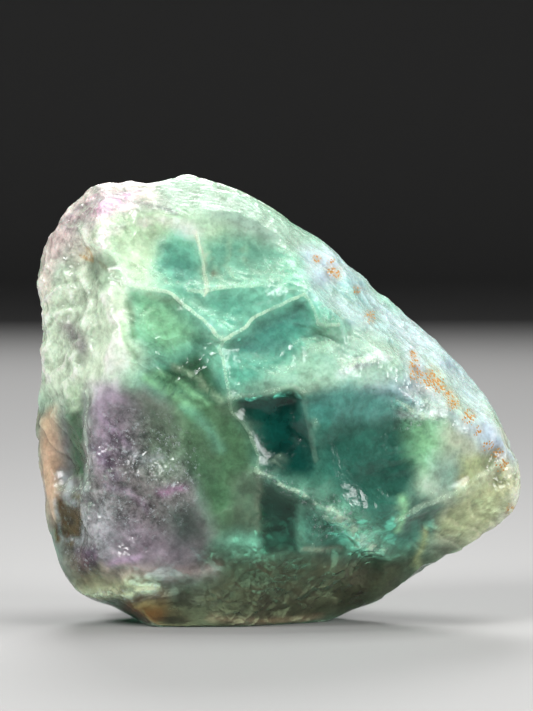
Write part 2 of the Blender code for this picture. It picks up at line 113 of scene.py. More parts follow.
# The cells of the broad face: outline in photograph pixels, colour, how strongly it shows, how soft
# its border is in millimetres and how clear it is.
CELLS = {
    "crown": (
        [(44, 230), (60, 195), (95, 180), (130, 175), (190, 172), (250, 195), (330, 245), (400, 320),
         (470, 390), (520, 480), (505, 490), (470, 440), (400, 375), (345, 320), (300, 262), (240, 235),
         (180, 212), (120, 215), (80, 235), (55, 280)],
        "white", 0.75, 2.0, 0.25,
    ),
    "bevel": (
        [(300, 248), (335, 245), (400, 315), (470, 385), (518, 455), (500, 470), (470, 430), (430, 395),
         (395, 345), (345, 315), (310, 290)],
        "ice", 0.95, 1.6, 0.22,
    ),
    # Painted highlight: the bluish sky cell on the bevel.
    "bevel painted highlight": (
        [(338, 278), (352, 272), (385, 318), (402, 350), (388, 344), (352, 308)],
        "sky", 0.5, 1.6, 0.4,
    ),
    "bevel pale": (
        [(420, 350), (446, 372), (468, 402), (474, 420), (450, 410), (428, 380)],
        "pale mint", 0.6, 1.4, 0.3,
    ),
    "pink crown": (
        [(42, 240), (60, 200), (95, 178), (150, 176), (160, 205), (110, 212), (80, 232), (52, 270)],
        "pink", 0.7, 1.6, 0.2,
    ),
    # The mint cell is partly the stone's pale green and partly a painted glow of light coming through the
    # top.
    "mint": (
        [(118, 212), (165, 208), (180, 230), (160, 262), (152, 282), (134, 282), (112, 252), (95, 235)],
        "mint", 1.0, 1.2, 0.3,
    ),
    "teal patch": (
        [(160, 242), (178, 232), (200, 240), (206, 262), (204, 292), (178, 292), (156, 272)],
        "teal", 0.9, 1.6, 0.55,
    ),
    "deep patch": ([(165, 262), (190, 262), (200, 282), (178, 278)], "blue teal", 0.7, 1.4, 0.6),
    "aqua": (
        [(206, 240), (240, 234), (290, 252), (302, 268), (292, 282), (262, 284), (225, 290),
         (205, 284)],
        "aqua", 0.95, 1.4, 0.5,
    ),
    "shelf": (
        [(205, 292), (262, 284), (300, 278), (302, 291), (262, 314), (224, 334), (205, 316),
         (180, 294)],
        "aqua", 0.8, 1.0, 0.45,
    ),
    "shelf patch": ([(212, 300), (240, 300), (252, 312), (228, 328), (212, 316)], "teal", 0.8, 1.2, 0.55),
    "hook": (
        [(228, 337), (262, 314), (302, 293), (318, 318), (330, 334), (300, 348), (262, 366), (238, 384),
         (229, 352)],
        "teal", 0.95, 1.2, 0.45,
    ),
    "hook deep": (
        [(236, 334), (268, 312), (300, 300), (306, 324), (272, 344), (244, 352)],
        "blue teal", 0.6, 1.8, 0.5,
    ),
    "stem": (
        [(134, 286), (170, 294), (202, 316), (224, 338), (226, 360), (214, 374), (195, 362), (160, 352),
         (136, 330)],
        "jade", 0.95, 1.2, 0.45,
    ),
    "stem glow": (
        [(140, 292), (175, 300), (195, 330), (170, 348), (144, 330)],
        "bright green", 0.7, 2.2, 0.4,
    ),
    "dash": (
        [(152, 368), (200, 350), (216, 372), (228, 394), (200, 388), (165, 382)],
        "fern", 0.95, 1.0, 0.5,
    ),
    "right upper": (
        [(318, 320), (340, 322), (398, 342), (392, 366), (330, 384), (302, 386), (296, 352)],
        "pale mint", 0.6, 1.6, 0.45,
    ),
    "band": (
        [(240, 384), (300, 350), (330, 360), (400, 352), (400, 380), (340, 384), (302, 388),
         (262, 388)],
        "pale mint", 0.55, 1.4, 0.3,
    ),
    "slab": (
        [(234, 394), (256, 392), (282, 387), (302, 389), (308, 412), (316, 446), (312, 470), (292, 474),
         (268, 464), (250, 440), (238, 416)],
        "dark teal", 1.0, 0.5, 0.35,
    ),
    "right blue": (
        [(306, 394), (345, 380), (402, 394), (408, 412), (330, 420), (310, 412)],
        "blue teal", 0.9, 1.6, 0.6,
    ),
    "right field": (
        [(309, 412), (332, 414), (406, 408), (420, 442), (408, 480), (384, 524), (352, 504), (320, 474),
         (318, 446)],
        "field green", 0.97, 1.4, 0.4,
    ),
    "green glow": (
        [(404, 412), (428, 410), (438, 440), (424, 466), (408, 450)],
        "bright green", 0.85, 2.4, 0.4,
    ),
    "blue glow": ([(428, 452), (454, 448), (464, 470), (452, 494), (428, 488)], "sky", 0.65, 2.6, 0.5),
    "lemon glow": ([(458, 452), (494, 450), (490, 468), (456, 490)], "lemon", 0.85, 1.0, 0.35),
    "tip": ([(476, 470), (504, 454), (518, 480), (510, 498), (486, 494)], "bone", 0.9, 1.4, 0.25),
    "tip low": (
        [(442, 500), (500, 465), (514, 480), (492, 522), (460, 538), (430, 532)],
        "lemon", 0.7, 1.6, 0.3,
    ),
    "right low": (
        [(384, 524), (408, 482), (444, 498), (432, 532), (400, 552), (368, 548)],
        "field green", 0.9, 1.4, 0.3,
    ),
    "under crackle": (
        [(256, 470), (300, 488), (300, 546), (262, 548), (254, 512)],
        "dark green", 0.95, 0.9, 0.5,
    ),
    "lower cell": ([(300, 488), (335, 505), (352, 542), (300, 546)], "field green", 0.7, 1.4, 0.35),
    "crackle glow": (
        [(288, 470), (322, 474), (372, 514), (394, 545), (362, 547), (335, 508), (300, 487)],
        "jade", 0.55, 2.0, 0.35,
    ),
    "bottom": (
        [(150, 575), (210, 548), (300, 548), (400, 552), (470, 538), (440, 575), (380, 602), (300, 620),
         (200, 626), (150, 612)],
        "olive", 0.94, 2.0, 0.36,
    ),
    "left field": (
        [(168, 384), (232, 394), (252, 440), (258, 466), (258, 522), (214, 524), (200, 480),
         (178, 440)],
        "moss", 0.95, 1.4, 0.5,
    ),
    "veil strip": ([(232, 466), (258, 464), (258, 522), (236, 524)], "grey lilac", 0.25, 1.2, 0.4),
    "purple field": (
        [(88, 402), (120, 384), (152, 380), (178, 402), (184, 440), (202, 482), (216, 522), (200, 562),
         (104, 562), (88, 500)],
        "grey lilac", 0.95, 1.6, 0.4,
    ),
    "field veil": ([(146, 392), (186, 400), (196, 450), (172, 474), (138, 452)], "moss", 0.55, 3.0, 0.4),
    "field foot": ([(96, 520), (140, 510), (196, 536), (190, 562), (104, 562)], "lilac", 0.35, 3.0, 0.3),
    "grey foot": ([(88, 500), (118, 490), (120, 545), (104, 552), (90, 530)], "silver", 0.45, 3.4, 0.3),
    "purple spot": ([(78, 545), (98, 540), (104, 566), (86, 572)], "purple", 0.85, 1.0, 0.4),
    "dark green spot": ([(170, 500), (200, 496), (206, 530), (176, 538)], "dark green", 0.6, 2.0, 0.6),
    "purple streak": ([(96, 405), (112, 402), (120, 450), (104, 470)], "purple", 0.25, 1.6, 0.35),
    "lilac veil": ([(96, 405), (135, 400), (142, 450), (100, 462)], "lilac", 0.4, 3.0, 0.3),
    "lilac patch": ([(92, 380), (122, 372), (128, 396), (100, 404)], "lilac", 0.7, 1.4, 0.2),
    "crescent": (
        [(106, 562), (118, 550), (142, 545), (146, 550), (124, 556), (110, 566)],
        "lilac", 0.7, 0.4, 0.1,
    ),
    "cream foot": (
        [(66, 588), (100, 560), (140, 560), (158, 572), (150, 584), (100, 592)],
        "cream", 0.6, 1.0, 0.3,
    ),
    "olive lens": ([(118, 584), (165, 580), (172, 600), (160, 618), (128, 612)], "tan", 1.0, 1.0, 0.3),
    "grey facet": (
        [(92, 256), (118, 250), (128, 276), (104, 290), (90, 276)],
        "grey green", 0.8, 0.8, 0.3,
    ),
    "green strip": ([(68, 384), (84, 382), (88, 420), (74, 424)], "mint", 0.8, 0.8, 0.3),
    "dark facet": ([(70, 412), (88, 408), (88, 478), (76, 470)], "moss", 0.85, 0.7, 0.6),
    "peach": ([(30, 412), (56, 408), (62, 470), (54, 520), (36, 480)], "peach", 0.75, 1.6, 0.3),
    "smoky": ([(56, 498), (82, 490), (86, 524), (72, 546), (56, 540)], "smoky", 0.95, 0.5, 0.6),
    "heel": ([(66, 548), (92, 556), (110, 576), (84, 592), (64, 576)], "brown", 0.6, 1.8, 0.3),
    "pink rim": (
        [(34, 300), (40, 235), (52, 205), (62, 215), (52, 250), (50, 300)],
        "pink", 0.7, 1.4, 0.2,
    ),
    "magenta crown": (
        [(92, 212), (98, 194), (130, 188), (138, 205), (112, 218)],
        "magenta", 0.4, 1.6, 0.1,
    ),
    "purple crown": ([(64, 226), (90, 212), (96, 222), (70, 232)], "purple", 0.5, 1.2, 0.1),
    "maroon crown": ([(136, 203), (170, 200), (178, 212), (140, 214)], "purple", 0.5, 1.0, 0.1),
}

# Crests of the broad face, as lines of photograph pixels: how far each stands out and its half width, in
# millimetres, and how white it is, which is frost on most crests and painted highlight on the streak and the
# sparkle.
CRESTS = {
    "arc": ([(83, 229), (90, 240), (100, 246), (112, 250), (122, 262), (132, 280)], 0.30, 0.5, 0.9),
    "shoulder": (
        [(120, 276), (134, 283), (155, 286), (172, 292), (190, 303), (203, 315), (224, 335)], 0.20, 0.42, 0.9,
    ),
    "brow": ([(224, 335), (247, 324), (257, 312), (278, 303), (302, 291)], 0.12, 0.42, 0.9),
    "hook": ([(302, 291), (313, 307), (318, 319), (337, 322)], 0.16, 0.40, 0.6),
    "stem": ([(225, 336), (220, 345), (226, 357), (230, 379), (232, 391)], 0.20, 0.4, 0.5),
    "slab top": ([(232, 391), (251, 390), (275, 383), (292, 381), (302, 386)], 0.25, 0.6, 0.35),
    "slab right": ([(302, 386), (306, 410), (312, 440), (314, 452)], 0.12, 0.6, 0.15),
    "slab left": ([(230, 390), (233, 406), (251, 428), (258, 449), (258, 463)], 0.20, 0.4, 0.35),
    "crackle": (
        [(258, 463), (279, 476), (299, 485), (320, 499), (337, 508), (351, 525), (361, 539), (382, 545)],
        0.35, 0.6, 0.8,
    ),
    "crumbs": ([(328, 504), (345, 515), (357, 532), (376, 546)], 0.20, 1.4, 0.9),
    "shelf": ([(190, 287), (206, 288), (233, 284), (261, 281), (278, 277)], 0.25, 0.5, 0.8),
    "seam": ([(199, 233), (204, 257), (206, 293)], 0.15, 0.35, 0.6),
    "tip edge": ([(498, 459), (475, 473), (448, 490), (415, 501), (394, 514)], 0.30, 0.6, 0.5),
    # The streak and the sparkle are real crests, but their white is a painted highlight.
    "streak": ([(340, 365), (352, 358), (375, 352)], 0.25, 0.8, 1.0),
    "sparkle": ([(394, 400), (412, 408), (430, 412)], 0.20, 1.0, 0.8),
    "lip": ([(66, 587), (97, 592), (131, 585), (155, 580)], 0.25, 0.5, 0.8),
    "left crack": ([(91, 387), (89, 430), (91, 454), (88, 484)], 0.25, 0.4, 0.4),
}

# The crests that are rows of bright crumbs; on the streak and the sparkle these crumbs are painted sparkles.
CRUMBLED = ("crackle", "crumbs", "streak", "sparkle", "lip")

# How far beside a crest the hollows begin to rise towards it, in millimetres.
CUSP_WIDTH = 2.6

# Thin strokes of the broad face, as lines of photograph pixels: colour, half width in millimetres and
# how strongly each shows.
STROKES = [
    ([(206, 240), (214, 262), (222, 284)], "mint", 0.30, 0.5),
    ([(232, 238), (228, 262), (236, 280)], "mint", 0.30, 0.4),
    ([(246, 240), (244, 262)], "mint", 0.25, 0.35),
    ([(199, 232), (204, 256), (207, 292)], "bone", 0.30, 0.7),
    ([(212, 270), (213, 272)], "brown", 0.22, 1.0),
    ([(131, 300), (136, 312), (139, 330)], "moss", 0.50, 0.8),
    ([(126, 318), (131, 338), (142, 352)], "moss", 0.40, 0.6),
    ([(70, 326), (80, 336), (86, 346)], "grey lilac", 1.30, 0.9),
    ([(258, 463), (258, 490), (257, 520)], "bone", 0.40, 0.2),
    ([(300, 484), (300, 515), (300, 542)], "jade", 0.50, 0.35),
    ([(302, 541), (322, 543), (340, 542)], "bone", 0.35, 0.35),
    ([(399, 491), (401, 505), (397, 523)], "bright green", 0.55, 0.8),
    ([(422, 525), (420, 545), (415, 568)], "lemon", 0.50, 0.8),
    # Painted highlight: the silver stroke along the streak.
    ([(340, 366), (356, 359), (384, 352)], "silver", 0.60, 0.8),
    ([(150, 372), (172, 386), (196, 402)], "bright green", 0.55, 0.75),
    ([(162, 366), (184, 380), (208, 398)], "bright green", 0.45, 0.75),
    ([(176, 360), (200, 376), (222, 394)], "mint", 0.40, 0.6),
    ([(188, 400), (206, 418), (222, 440)], "jade", 0.70, 0.6),
    ([(150, 292), (164, 296), (184, 300)], "brown", 0.60, 0.40),
    ([(88, 390), (90, 430), (92, 456), (88, 484)], "silver", 0.45, 0.4),
    ([(162, 486), (172, 481), (184, 479)], "magenta", 0.60, 0.28),
    ([(60, 222), (84, 206), (100, 200)], "purple", 0.50, 0.6),
    ([(96, 186), (112, 196), (126, 190)], "purple", 0.35, 0.6),
    ([(108, 204), (124, 196), (140, 192)], "magenta", 0.50, 0.5),
    ([(136, 200), (156, 206), (178, 210)], "purple", 0.35, 0.5),
    ([(66, 200), (78, 190), (92, 184)], "lilac", 0.60, 0.6),
    ([(62, 470), (72, 480), (66, 496), (78, 500)], "silver", 0.60, 0.8),
    ([(54, 500), (60, 520), (66, 540), (84, 536), (86, 512)], "silver", 0.35, 0.7),
    ([(96, 440), (108, 452), (120, 470)], "purple", 0.80, 0.5),
    ([(104, 410), (118, 426), (134, 440)], "lilac", 0.50, 0.5),
    ([(126, 440), (146, 452), (166, 450)], "silver", 0.45, 0.4),
    ([(110, 478), (132, 484), (150, 500)], "lilac", 0.60, 0.4),
    ([(110, 566), (140, 562), (180, 566), (214, 560)], "pink", 0.90, 0.45),
    ([(66, 590), (96, 594), (130, 588), (158, 580)], "cream", 0.45, 0.8),
    ([(212, 612), (262, 618), (320, 616)], "peach", 0.60, 0.25),
    ([(84, 255), (96, 262), (90, 246)], "rust", 0.22, 0.7),
    ([(103, 262), (116, 270), (126, 284)], "brown", 0.25, 0.6),
    ([(320, 292), (334, 288), (350, 296)], "sky", 1.20, 0.6),
    # Painted sparkles: the two silver strokes beside the sparkle crest.
    ([(404, 388), (420, 384), (438, 394), (434, 404), (412, 404)], "silver", 0.70, 0.5),
    ([(398, 408), (414, 412), (434, 410)], "silver", 0.60, 0.6),
    ([(242, 342), (262, 346), (284, 340)], "sky", 0.80, 0.6),
    ([(456, 472), (466, 478)], "rust", 0.60, 0.35),
]

# Brown iron grains: places in photograph pixels and the radius that they are strewn over.
RUST = [
    ((316, 258), 4), ((330, 261), 4), ((333, 272), 7), ((356, 289), 4), ((369, 315), 6), ((411, 352), 4),
    ((412, 361), 6), ((413, 371), 7), ((427, 375), 10), ((436, 382), 8), ((445, 390), 5), ((450, 399), 7),
    ((465, 413), 7), ((474, 427), 5), ((485, 443), 6), ((495, 450), 6), ((500, 462), 7), ((509, 507), 5),
    ((88, 254), 3),
]

# Patches broken in scoops that meet in sharp edges: middle, radius, a scoop's width and its depth.
SCOOPED = [
    ((-31.0, -6.0, 44.0), 14.0, 3.8, 0.62),
    ((-31.0, -6.0, 46.0), 14.0, 1.6, 0.26),
    ((-30.0, -8.0, 26.0), 13.0, 3.0, 0.45),
    ((-23.0, -15.0, 22.0), 14.0, 2.2, 0.26),
    ((-23.0, -15.0, 22.0), 13.0, 1.0, 0.10),
    ((-26.0, -12.0, 10.0), 11.0, 2.6, 0.35),
    ((-14.0, -16.0, 40.0), 9.0, 4.0, 0.20),
    ((8.0, -15.0, 17.0), 6.0, 1.3, 0.16),
    ((13.0, -14.0, 12.0), 5.0, 1.2, 0.16),
    ((33.0, -2.0, 20.0), 10.0, 2.6, 0.30),
    ((-24.0, -5.0, 58.0), 11.0, 2.6, 0.34),
    ((18.0, -6.0, 42.0), 16.0, 4.2, 0.30),
    ((4.0, -14.0, 5.0), 20.0, 4.6, 0.30),
    ((-8.0, 12.0, 36.0), 34.0, 8.0, 0.90),
    ((-28.0, 10.0, 24.0), 16.0, 3.2, 0.45),
    ((12.0, 15.0, 34.0), 15.0, 3.4, 0.35),
    ((22.0, 8.0, 14.0), 14.0, 3.0, 0.35),
    ((-6.0, 16.0, 14.0), 12.0, 2.4, 0.25),
]

# The seed of the way that each scoop leans, so that every run gives the same stone.
LEAN_SEED = 7

# Patches broken in steps: middle, radius, the way that the steps climb, their width and their height.
STEPPED = [
    ((-4.0, 17.0, 46.0), 20.0, (0.5, 0.1, 0.85), 4.2, 0.42),
    ((-8.0, 17.0, 20.0), 20.0, (-0.8, 0.2, 0.5), 5.0, 0.46),
    ((18.0, 13.0, 26.0), 17.0, (0.7, 0.2, -0.6), 3.8, 0.40),
    ((-32.0, 2.0, 40.0), 17.0, (0.1, 0.75, 0.65), 3.4, 0.36),
    ((-31.0, -4.0, 20.0), 13.0, (-0.2, 0.8, -0.5), 3.0, 0.30),
    ((14.0, 2.0, 46.0), 18.0, (0.2, 0.9, 0.3), 3.2, 0.22),
    ((30.0, 4.0, 26.0), 12.0, (0.3, 0.8, 0.4), 3.0, 0.26),
    ((-18.0, 4.0, 60.0), 14.0, (0.3, 0.9, 0.2), 3.0, 0.24),
    ((26.0, -6.0, 10.0), 11.0, (0.8, -0.3, 0.5), 3.4, 0.20),
]

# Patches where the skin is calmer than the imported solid: middle and radius. All are softened so many
# times.
CALM = [
    ((-15.0, -17.0, 52.0), 12.0),
    ((-4.0, -17.0, 51.0), 11.0),
    ((-15.0, -17.0, 40.0), 8.0),
    ((4.0, -17.0, 25.0), 4.5),
    ((0.5, -17.0, 21.0), 5.0),
    ((-3.0, -17.0, 28.0), 4.5),
]
CALMING_ROUNDS = 260

# Sparkling patches: middle, radius and how lively.
SPARKLED = [
    ((-20.0, -15.0, 22.0), 12.0, 1.0),
    ((-28.0, -10.0, 14.0), 8.0, 1.0),
    ((8.0, -15.0, 16.0), 5.0, 1.0),
    ((13.0, -14.0, 12.0), 4.0, 1.0),
    ((19.0, -12.0, 31.0), 4.0, 1.0),
    ((33.0, -3.0, 22.0), 7.0, 0.5),
    ((-31.0, -6.0, 44.0), 13.0, 0.35),
    ((-26.0, -6.0, 58.0), 9.0, 0.7),
    ((18.0, -4.0, 42.0), 14.0, 0.3),
    ((-24.0, 12.0, 26.0), 12.0, 0.7),
    ((6.0, 15.0, 40.0), 16.0, 0.4),
]

# Places where the stone was struck: middle, reach of the rings, ring width and ring height.
RIPPLES = [
    ((-2.0, -17.0, 40.0), 11.0, 1.5, 0.05),
    ((-14.0, -17.0, 46.0), 10.0, 1.7, 0.05),
    ((16.0, -14.0, 30.0), 15.0, 1.9, 0.05),
    ((-4.0, -17.0, 52.0), 10.0, 1.4, 0.04),
    ((2.0, -16.0, 6.0), 14.0, 1.8, 0.05),
    ((26.0, -10.0, 14.0), 11.0, 1.6, 0.05),
    ((0.0, 17.0, 40.0), 16.0, 2.0, 0.06),
    ((-16.0, 16.0, 16.0), 14.0, 1.8, 0.06),
    ((20.0, 12.0, 24.0), 12.0, 1.7, 0.06),
]

# How strongly the broad face's cells show on the far side.
FAR_STRENGTH = 0.8

# How much fuller the skin's colours are than those that the eye sees through its gloss.
FULLNESS = 1.06

# The relief grows from none this far above the ground to its full height over this rise, in millimetres.
BASE_START = 0.3
BASE_RISE = 1.2

# The skin's gentle unevenness: the height and the length of its waves, in millimetres.
UNEVENNESS = [(0.20, 7.0), (0.05, 2.6)]

# The chips knocked off the crests: the seed of their random places, how many there are, the least reach
# and how much is added to it at most, in millimetres, and the least and most depth for that reach.
CHIP_SEED = 5
CHIP_COUNT = 900
CHIP_REACH = (1.6, 4.0)
CHIP_DEPTH = (0.03, 0.07)

# How often a copy of the skin is softened to find the crests that are chipped, and those that are frosted.
CHIPPED_ROUNDS = 20
FROSTED_ROUNDS = 16

# The crown's fibres: the axes that they follow, the size of their waves along those axes and their height,
# in millimetres.
FIBRE_AXES = np.array(((0.81, 0.0, -0.59), (0.0, 1.0, 0.0), (0.59, 0.0, 0.81)))
FIBRE_WAVES = np.array((6.0, 0.8, 0.9))
FIBRE_HEIGHT = 0.12

# The share that draws a crest's white line falls to none over this many of the crest's half widths. The
# glow beside a crest has this strength and half width, and the crumbs beside a crumbled one this half
# width, in millimetres.
EDGE_REACH = 4.0
GLOW_STRENGTH = 0.18
GLOW_WIDTH = 1.5
CRUMB_WIDTH = 0.9

# Rust reaches this many times as far as the radius of its place.
STAIN_REACH = 1.3

# Fluorite's index of refraction, and the colour and the density of what the clear stone absorbs.
IOR = 1.434
ABSORPTION_COLOUR = (0.36, 0.86, 0.79, 1.0)
ABSORPTION_DENSITY = 30.0

# How much clearer than its painted clearness the stone is, and the clearest that it gets.
CLEARING = 1.15
CLEAREST = 0.92

# The light that veils inside the stone scatter: its share, how far red, green and blue go beside each
# other, and how far that is in metres.
SCATTERED = 0.3
SCATTER_RADIUS = (0.5, 1.0, 0.8)
SCATTER_SCALE = 0.0022

# The material's noises: waves in a metre of stone, how many finer layers each has and how strong they are.
NOISES = {
    "coarse": (420.0, 4.0, 0.6),
    "fine": (1900.0, 3.0, 0.6),
    "frost_and_glint_fleck": (1300.0, 5.0, 0.8),
    "thread": (150.0, 3.0, 0.5),
    "mottle": (300.0, 4.0, 0.7),
    "speckle": (900.0, 2.0, 0.7),
    "lively": (520.0, 5.0, 0.75),
}

# The material's cells: how many lie side by side in a metre of stone. The facets are bent by a noise, whose
# waves in a metre, finer layers and height in metres come after.
GLITTER_CELLS = 1900.0
FACET_CELLS = 620.0
RUST_CELLS = 2200.0
FACET_BEND = (500.0, 2.0, 0.0016)

# The scratches' noise: its size in metres along them, into the stone and across them, and the turns of the
# fibres and of the crossed hatching, in degrees from X.
SCRATCH_SIZE = (1 / 120.0, 1 / 400.0, 1 / 1500.0)
FIBRE_TURN = 38.0
HATCH_TURNS = (48.0, -40.0)

# How high each fine form stands beside the others, and the strength and the full height, in metres, of
# them all.
BUMPS = {"fine": 0.35, "glitter": 1.0, "facets": 5.0, "fibres": 1.6, "coarse": 1.2}
BUMP_STRENGTH = 0.5
BUMP_HEIGHT = 0.0002

# The camera aims at this place, in metres, stands this far off, looks through a lens of this many
# millimetres, looks down by this many degrees, and sees nothing nearer than this, in metres.
AIM = Vector((-0.0015, 0.0, 0.0382))
CAMERA_DISTANCE = 0.567
CAMERA_LENS = 200.0
CAMERA_RISE = 2.5
NEAREST_SEEN = 0.01

# The floor is flat this far from the stone, in metres, and then sweeps up with this radius, in so many
# steps. It goes round the stone in so many turns, and has this colour and roughness. The last is the
# colour of the surroundings.
FLOOR_RADIUS = 2.0
SWEEP_RADIUS = 1.0
SWEEP_STEPS = 12
FLOOR_TURNS = 96
FLOOR_COLOUR = (0.36, 0.357, 0.352, 1.0)
FLOOR_ROUGHNESS = 0.7
SURROUNDINGS = (0.02, 0.021, 0.022, 1.0)

# The soft square lights: place and width in metres, and power in watts. All look at one place.
LIT_PLACE = Vector((0.0, 0.0, 0.035))
LIGHTS = {
    "top light": ((0.10, 0.04, 0.46), 0.26, 1.5),
    "back light": ((-0.05, 0.85, 0.60), 0.40, 5.0),
    "key light": ((-0.34, -0.30, 0.36), 0.20, 2.8),
    "fill light": ((0.56, -0.34, 0.30), 0.30, 3.8),
}


def unit(vector):
    """The vector at length 1."""
    vector = np.asarray(vector, float)
    return vector / np.linalg.norm(vector)


def smooth(share):
    """0 to 1 with soft ends."""
    share = np.clip(share, 0.0, 1.0)
    return share * share * (3.0 - 2.0 * share)


def on_face(pixels):
    """Photograph pixels as (x, z) places on the broad face, in millimetres."""
    across, down = np.asarray(pixels, float).T
    return np.stack(((across - GROUND_PIXEL[0]) * PIXEL, (GROUND_PIXEL[1] - down) * PIXEL), axis=1)


def linear(colour):
    """A colour as the eye sees it, from 0 to 255, turned into light, and fuller, for what gloss takes off."""
    share = np.asarray(colour, float) / 255.0
    light = np.where(share <= 0.04045, share / 12.92, ((share + 0.055) / 1.055) ** 2.4)
    return np.clip(light.mean() + FULLNESS * (light - light.mean()), 0.004, 1.0)


def waves(points, size):
    """Smooth noise from -1 to 1 at each point; size is the length of a wave, or one for each axis."""
    return np.array([noise.noise(place) for place in (points / size).tolist()])


def line_distance(places, line, closed=False):
    """Distance of each (x, z) place from a line of points."""
    nearest = np.full(len(places), np.inf)
    ends = np.roll(line, -1, axis=0) if closed else line[1:]
    for start, end in zip(line, ends):
        along = end - start
        share = np.clip((places - start) @ along / (along @ along), 0.0, 1.0)
        nearest = np.minimum(nearest, np.hypot(*(places - start - share[:, None] * along).T))
    return nearest


def inside(places, outline):
    """Which (x, z) places lie inside a closed outline."""
    x, z = places.T
    odd = np.zeros(len(places), bool)
    for (x0, z0), (x1, z1) in zip(outline, np.roll(outline, -1, axis=0)):
        if z0 != z1:
            crosses = (z0 > z) != (z1 > z)
            odd ^= crosses & (x < x0 + (z - z0) * (x1 - x0) / (z1 - z0))
    return odd


def outline_share(places, outline, soft):
    """How much each place belongs to an outline, with a border this soft."""
    distance = line_distance(places, outline, closed=True)
    return smooth(0.5 + np.where(inside(places, outline), distance, -distance) / (2.0 * soft))


def patch(points, middle, radius):
    """How much each point belongs to a round patch: 1 in its inner half, 0 outside it."""
    away = np.linalg.norm(points - np.asarray(middle), axis=1) / radius
    return smooth(2.0 * (1.0 - away))


class Skin:
    """The stone's surface as arrays: points in millimetres, and the edges that join them."""

    def __init__(self, mesh):
        count = len(mesh.vertices)
        points = np.empty(count * 3)
        mesh.vertices.foreach_get("co", points)
        self.points = points.reshape(-1, 3) / MM
        edges = np.empty(len(mesh.edges) * 2, np.int64)
        mesh.edges.foreach_get("vertices", edges)
        self.edges = edges.reshape(-1, 2)
        self.mesh = mesh
        self.links = np.bincount(self.edges.ravel(), minlength=count)

    def around(self, values):
        """The mean of each point's neighbours' values."""
        a, b = self.edges.T
        total = np.bincount(a, values[b], len(values)) + np.bincount(b, values[a], len(values))
        return total / self.links

    def soften(self, rounds):
        """Draws each point halfway to its neighbours' middle, again and again."""
        for _ in range(rounds):
            self.points = (self.points + np.stack([self.around(c) for c in self.points.T], axis=1)) / 2.0

    def calm(self, middle, radius, rounds):
        """Softens one round patch far more than the rest."""
        share = 0.5 * patch(self.points, middle, radius)
        chosen = np.flatnonzero(share > 0.0)
        place = np.full(len(self.points), -1)
        place[chosen] = np.arange(len(chosen))
        ends = place[self.edges]
        a, b = ends[(ends >= 0).all(axis=1)].T
        links = np.maximum(np.bincount(a, minlength=len(chosen)) + np.bincount(b, minlength=len(chosen)), 1)
        points = self.points[chosen]
        for _ in range(rounds):
            middles = np.empty_like(points)
            for k in range(3):
                total = np.bincount(a, points[b, k], len(chosen)) + np.bincount(b, points[a, k], len(chosen))
                middles[:, k] = total / links
            points = points + (middles - points) * share[chosen, None]
        self.points[chosen] = points

    def write(self):
        """Puts the points back in the mesh."""
        self.mesh.vertices.foreach_set("co", (self.points * MM).ravel())
        self.mesh.update()

    def normals(self):
        """The way that the skin looks at each point."""
        self.write()
        normals = np.empty(len(self.points) * 3, np.float32)
        self.mesh.vertex_normals.foreach_get("vector", normals)
        return normals.reshape(-1, 3).astype(float)

    def above_base(self):
        """0 on the flat base, rising to 1 just above it."""
        return smooth((self.points[:, 2] - BASE_START) / BASE_RISE)

    def lift(self, height):
        """Moves the points out along their normals, but not those of the base."""
        self.points = self.points + self.normals() * (height * self.above_base())[:, None]

    def crests(self, rounds):
        """How far each point stands out from the skin softened so many times, in millimetres."""
        normals = self.normals()
        here = self.points
        self.soften(rounds)
        softened = self.points
        self.points = here
        return ((here - softened) * normals).sum(axis=1)


def evaluated(mesh, kind, **settings):
    """The mesh after one modifier."""
    helper = bpy.data.objects.new("helper", mesh)
    bpy.context.scene.collection.objects.link(helper)
    modifier = helper.modifiers.new(kind, kind)
    for name, value in settings.items():
        setattr(modifier, name, value)
    graph = bpy.context.evaluated_depsgraph_get()
    result = bpy.data.meshes.new_from_object(helper.evaluated_get(graph))
    bpy.data.objects.remove(helper)
    return result


def packed_form():
    """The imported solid's surface on an even, fine grid."""
    form = bmesh.new()
    form.from_mesh(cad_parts["fluorite"].data)
    bmesh.ops.remove_doubles(form, verts=form.verts, dist=1e-6)
    mesh = bpy.data.meshes.new("form")
    form.to_mesh(mesh)
    form.free()
    return evaluated(mesh, "REMESH", mode="VOXEL", voxel_size=VOXEL * MM)


def chip(skin, random):
    """Knocks small flat facets off the skin's crests."""
    normals = skin.normals()
    crests = skin.crests(CHIPPED_ROUNDS)
    points = skin.points
    places = points.tolist()
    tree = kdtree.KDTree(len(places))
    for i, place in enumerate(places):
        tree.insert(place, i)
    tree.balance()
    likely = smooth((crests - 0.04) / 0.25) * (points[:, 2] > 1.5)
    # The broad face keeps few chips, all but its rough left border.
    likely *= 1.0 - 0.8 * smooth(-normals[:, 1] / 0.5) * smooth((points[:, 0] + 28.0) / 4.0)
    least, more = CHIP_REACH
    for i in random.choice(len(points), CHIP_COUNT, replace=False, p=likely / likely.sum()):
        reach = least + more * random.random() ** 3
        depth = reach * random.uniform(*CHIP_DEPTH)
        out = unit(normals[i] + 0.20 * random.uniform(-1.0, 1.0, 3))
        near = np.array([found[1] for found in tree.find_range(places[i], reach)])
        from_middle = points[near] - places[i]
        over = np.clip(from_middle @ out + depth, 0.0, 2.5 * depth)
        fade = smooth(2.0 * (1.0 - np.linalg.norm(from_middle, axis=1) / reach))
        points[near] -= (over * fade)[:, None] * out


def rippled(points, normals):
    """Fine rings round the places where the stone was struck, as heights in millimetres."""
    heights = np.zeros(len(points))
    spread = 1.6 * waves(points, 6.0) + 0.25 * waves(points, 2.0)
    for middle, reach, ring, height in RIPPLES:
        away = np.linalg.norm(points - np.asarray(middle), axis=1)
        share = smooth(1.4 * (1.0 - away / reach)) * smooth(0.5 + waves(points + 9.0 * reach, 5.0))
        heights += height * share * np.sin(math.tau * (away + spread) / ring)
    return heights


